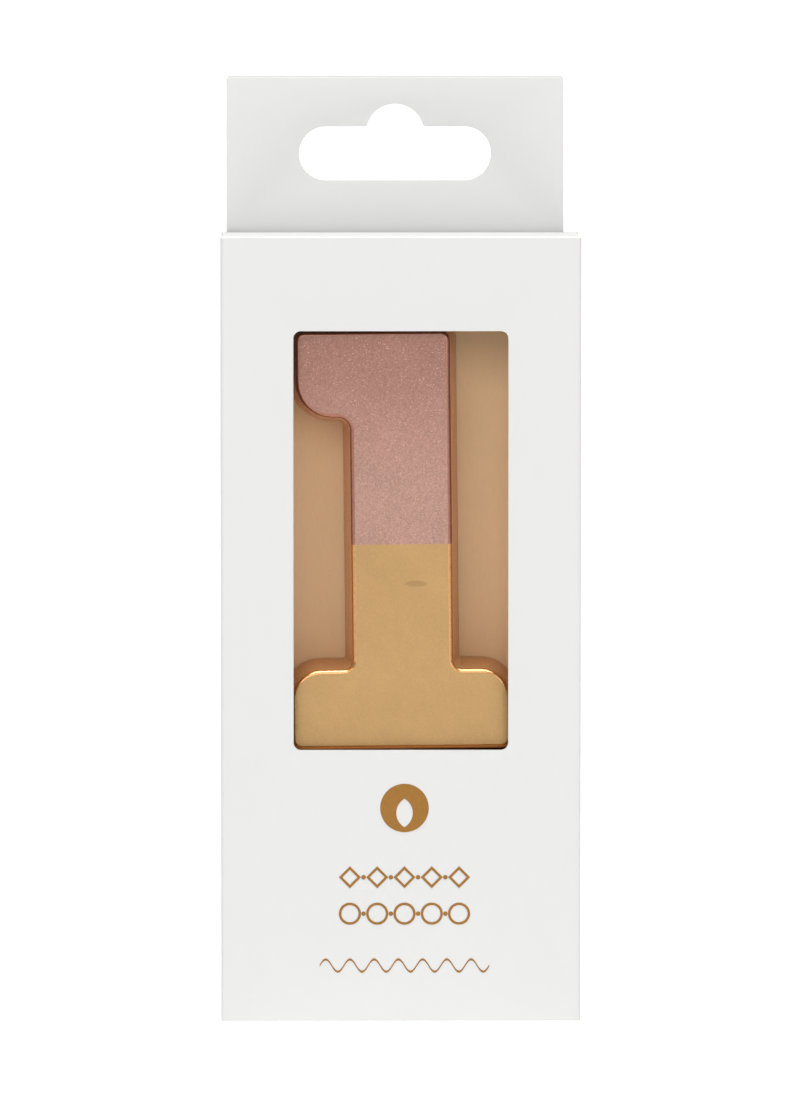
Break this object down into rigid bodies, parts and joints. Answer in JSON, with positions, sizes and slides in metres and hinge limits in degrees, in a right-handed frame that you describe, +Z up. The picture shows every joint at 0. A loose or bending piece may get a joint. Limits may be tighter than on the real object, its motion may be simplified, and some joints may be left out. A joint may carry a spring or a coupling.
{
  "type": "number birthday candle in a hang-tab carton",
  "caption": "Digit-one cake candle with a wick and pick, standing in a white window carton with tuck lids and a hang tab.",
  "frame": {"origin": "middle of the base, where the carton stands", "axes": "+Z up along the carton, front with the window towards -Y, hang tab at the back on +Y, +X to the viewer's right"},
  "size_m": [0.06, 0.022, 0.1573],
  "materials": {
    "white_board": "matt coated white board",
    "tan_card": "warm tan card",
    "wax": "plain ivory wax",
    "rose_gold_paint": "fine-grained rose gold metallic coat",
    "gold_paint": "fine-grained gold metallic coat",
    "cotton_wick": "waxed braided cotton",
    "white_plastic": "moulded translucent white plastic",
    "gold_foil": "satin stamped foil"
  },
  "bodies": {
    "carton": {"front_panel": "white_board", "back_panel": "white_board", "tab_ply": "white_board", "left_panel": "white_board", "right_panel": "white_board", "glue_flap": "white_board", "insert_back": "tan_card", "insert_wing_left": "tan_card", "insert_wing_right": "tan_card", "insert_shelf": "tan_card", "foil_badge": "gold_foil", "foil_row_upper": "gold_foil", "foil_row_lower": "gold_foil", "foil_streamer": "gold_foil"},
    "candle": {"wax_digit": "wax", "rose_gold_coat": "rose_gold_paint", "gold_coat": "gold_paint", "wick": "cotton_wick", "cake_pick": "white_plastic"},
    "top_lid": {"top_lid": "white_board"},
    "top_tongue": {"top_tongue": "white_board"},
    "top_dust_left": {"top_dust_left": "white_board"},
    "top_dust_right": {"top_dust_right": "white_board"},
    "bottom_lid": {"bottom_lid": "white_board"},
    "bottom_tongue": {"bottom_tongue": "white_board"},
    "bottom_dust_left": {"bottom_dust_left": "white_board"},
    "bottom_dust_right": {"bottom_dust_right": "white_board"}
  },
  "joints": [
    {"name": "candle_lift", "type": "slide", "parent": "carton", "child": "candle", "axis": [0, 0, 1], "range_m": [0, 0.045]},
    {"name": "top_lid_hinge", "type": "hinge", "parent": "carton", "child": "top_lid", "pos_m": [0, -0.01075, 0.13075], "axis": [1, 0, 0], "range_deg": [0, 180]},
    {"name": "top_tongue_fold", "type": "hinge", "parent": "top_lid", "child": "top_tongue", "pos_m": [0, 0.00875, 0.13075], "axis": [1, 0, 0], "range_deg": [-45, 0]},
    {"name": "top_dust_left_hinge", "type": "hinge", "parent": "carton", "child": "top_dust_left", "pos_m": [-0.02975, 0, 0.13005], "axis": [0, -1, 0], "range_deg": [0, 90]},
    {"name": "top_dust_right_hinge", "type": "hinge", "parent": "carton", "child": "top_dust_right", "pos_m": [0.02975, 0, 0.13005], "axis": [0, 1, 0], "range_deg": [0, 90]},
    {"name": "bottom_lid_hinge", "type": "hinge", "parent": "carton", "child": "bottom_lid", "pos_m": [0, 0.01025, 0.00025], "axis": [1, 0, 0], "range_deg": [0, 180]},
    {"name": "bottom_tongue_fold", "type": "hinge", "parent": "bottom_lid", "child": "bottom_tongue", "pos_m": [0, -0.00925, 0.00025], "axis": [1, 0, 0], "range_deg": [-45, 0]},
    {"name": "bottom_dust_left_hinge", "type": "hinge", "parent": "carton", "child": "bottom_dust_left", "pos_m": [-0.02975, 0, 0.00095], "axis": [0, 1, 0], "range_deg": [0, 90]},
    {"name": "bottom_dust_right_hinge", "type": "hinge", "parent": "carton", "child": "bottom_dust_right", "pos_m": [0.02975, 0, 0.00095], "axis": [0, -1, 0], "range_deg": [0, 90]}
  ],
  "couplings": [
    {"joint": "top_lid_hinge", "follows": "candle_lift", "rad_per_m": 69.81},
    {"joint": "top_tongue_fold", "follows": "candle_lift", "rad_per_m": -17.453},
    {"joint": "top_dust_left_hinge", "follows": "candle_lift", "rad_per_m": 34.905},
    {"joint": "top_dust_right_hinge", "follows": "candle_lift", "rad_per_m": 34.905},
    {"joint": "bottom_tongue_fold", "follows": "bottom_lid_hinge", "ratio": -0.25},
    {"joint": "bottom_dust_left_hinge", "follows": "bottom_lid_hinge", "ratio": 0.5},
    {"joint": "bottom_dust_right_hinge", "follows": "bottom_lid_hinge", "ratio": 0.5}
  ]
}
